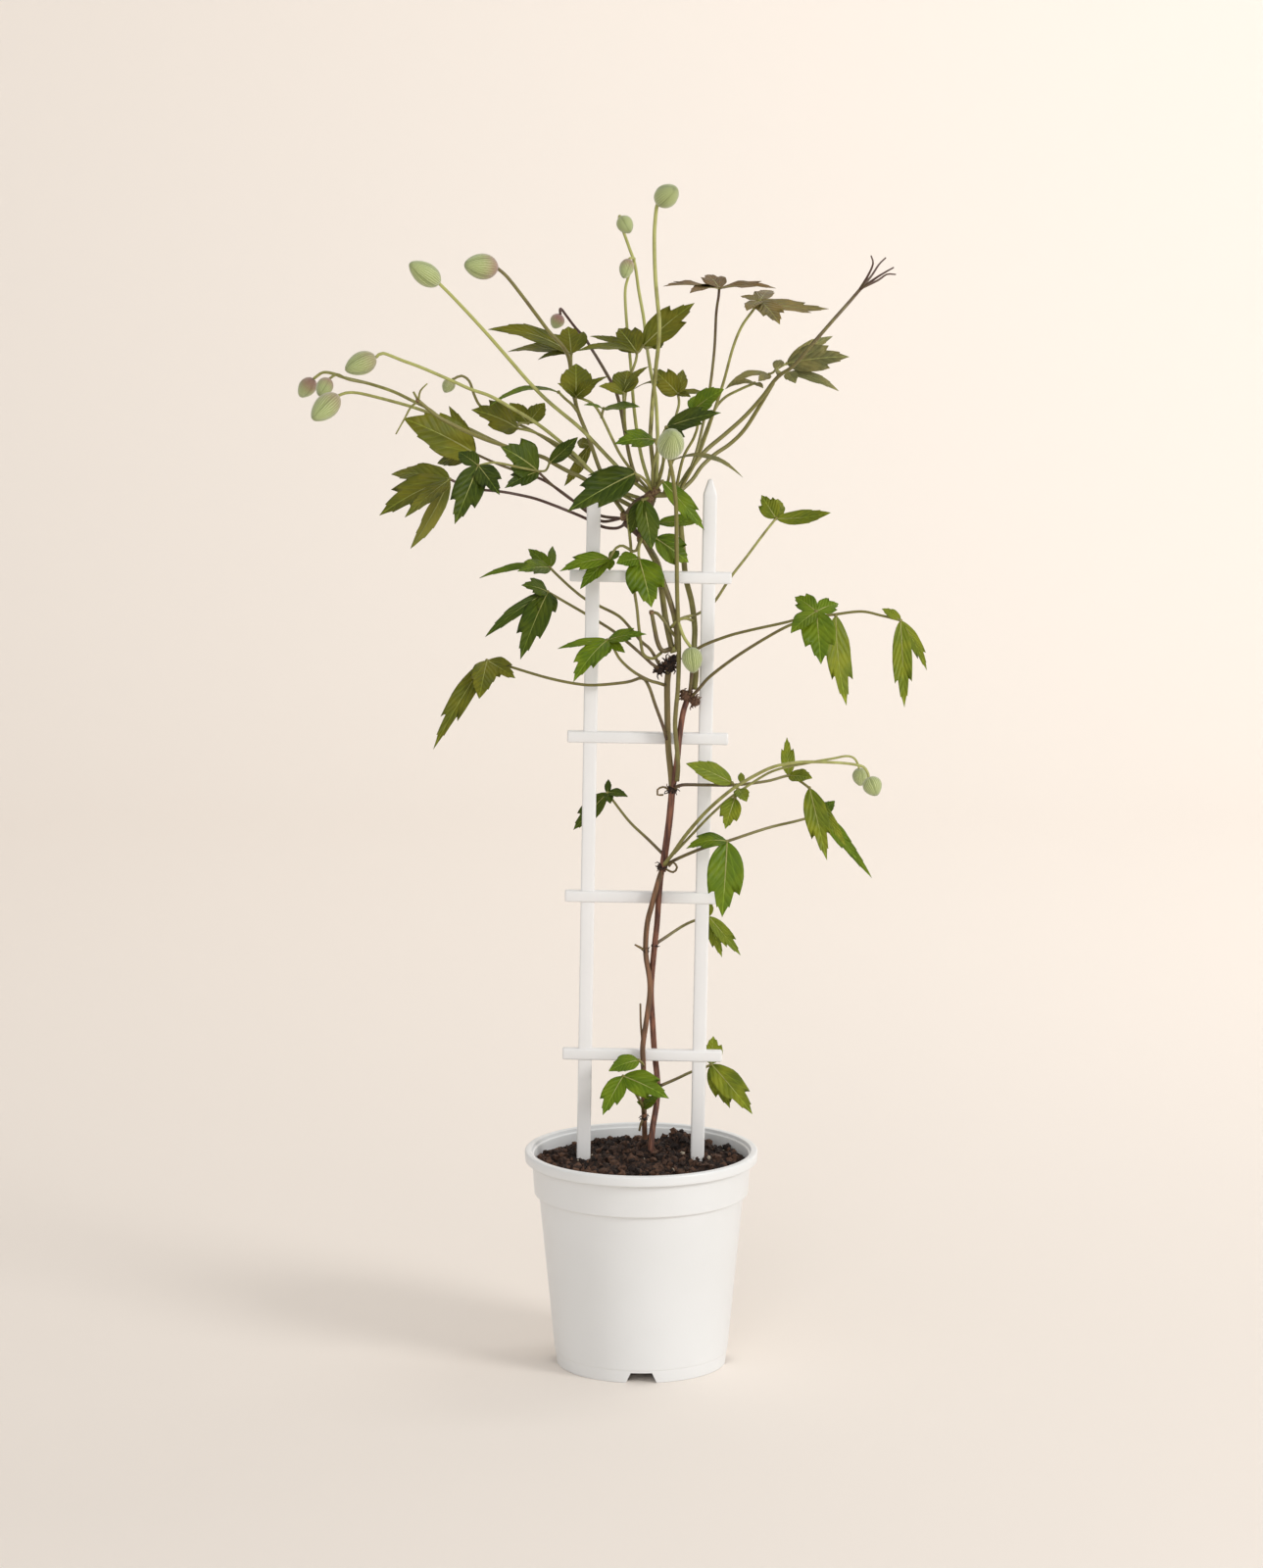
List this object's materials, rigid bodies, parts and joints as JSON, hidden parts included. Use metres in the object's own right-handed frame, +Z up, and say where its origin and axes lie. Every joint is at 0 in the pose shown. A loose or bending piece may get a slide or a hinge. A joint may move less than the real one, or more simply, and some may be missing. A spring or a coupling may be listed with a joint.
{
  "type": "potted clematis",
  "caption": "Climbing plant with lobed leaflets on thin arching stalks and pale flower buds, twined up a white ladder trellis that stands in the soil of a plain round pot.",
  "frame": {"origin": "on the floor, under the middle of the whole plant's box", "axes": "+Z up, along the plant's height; -Y towards the viewer, square to the flat of the trellis; +X to the viewer's right"},
  "size_m": [0.4494, 0.1916, 0.8606],
  "materials": {
    "pot_white": "warm white, satin",
    "trellis_white": "white, satin",
    "soil": "dark brown, crumbly, matte",
    "bark": "reddish brown, matte",
    "stalk_green": "olive green, satin",
    "leaf_dark_tone": "dark leaf, satin",
    "leaf_green_tone": "green leaf, satin",
    "leaf_fresh_tone": "fresh leaf, satin",
    "leaf_olive_tone": "olive leaf, satin",
    "leaf_grey_tone": "grey leaf, satin",
    "leaf_bronze_tone": "bronze leaf, satin",
    "bud_green": "pale yellow-green, finely hairy, matte"
  },
  "bodies": {
    "root": {"bud_1": "bud_green", "bud_10": "bud_green", "bud_11": "bud_green", "bud_12": "bud_green", "bud_13": "bud_green", "bud_2": "bud_green", "bud_3": "bud_green", "bud_4": "bud_green", "bud_5": "bud_green", "bud_6": "bud_green", "bud_7": "bud_green", "bud_8": "bud_green", "bud_9": "bud_green", "buds_right": "bud_green", "leaf_arch": "leaf_green_tone", "leaf_base_left": "leaf_green_tone", "leaf_base_right": "leaf_fresh_tone", "leaf_base_top": "leaf_green_tone", "leaf_center_big": "leaf_green_tone", "leaf_center_dark": "leaf_dark_tone", "leaf_center_right": "leaf_green_tone", "leaf_crown_right": "leaf_green_tone", "leaf_far_left_low": "leaf_olive_tone", "leaf_far_right": "leaf_fresh_tone", "leaf_flat": "leaf_green_tone", "leaf_left_big": "leaf_dark_tone", "leaf_left_curved": "leaf_green_tone", "leaf_left_dark": "leaf_dark_tone", "leaf_left_grey": "leaf_olive_tone", "leaf_left_low": "leaf_olive_tone", "leaf_left_olive": "leaf_olive_tone", "leaf_left_upper": "leaf_olive_tone", "leaf_low_left": "leaf_dark_tone", "leaf_low_left_low": "leaf_green_tone", "leaf_low_left_mid": "leaf_dark_tone", "leaf_low_left_top": "leaf_green_tone", "leaf_low_right": "leaf_fresh_tone", "leaf_low_right_far": "leaf_fresh_tone", "leaf_low_right_mid": "leaf_green_tone", "leaf_mid": "leaf_olive_tone", "leaf_mid_left": "leaf_olive_tone", "leaf_mid_low": "leaf_green_tone", "leaf_mid_right": "leaf_olive_tone", "leaf_right_big": "leaf_green_tone", "leaf_right_mid": "leaf_dark_tone", "leaf_right_narrow": "leaf_grey_tone", "leaf_right_up": "leaf_green_tone", "leaf_right_young": "leaf_fresh_tone", "leaf_shoot": "leaf_grey_tone", "leaf_shoot_side": "leaf_grey_tone", "leaf_top_left": "leaf_olive_tone", "leaf_top_mid": "leaf_olive_tone", "leaf_umbrella": "leaf_bronze_tone", "leaf_umbrella_right": "leaf_bronze_tone", "pot": "pot_white", "soil": "soil", "stalks": "stalk_green", "stems": "bark", "trellis": "trellis_white"}
  },
  "joints": []
}
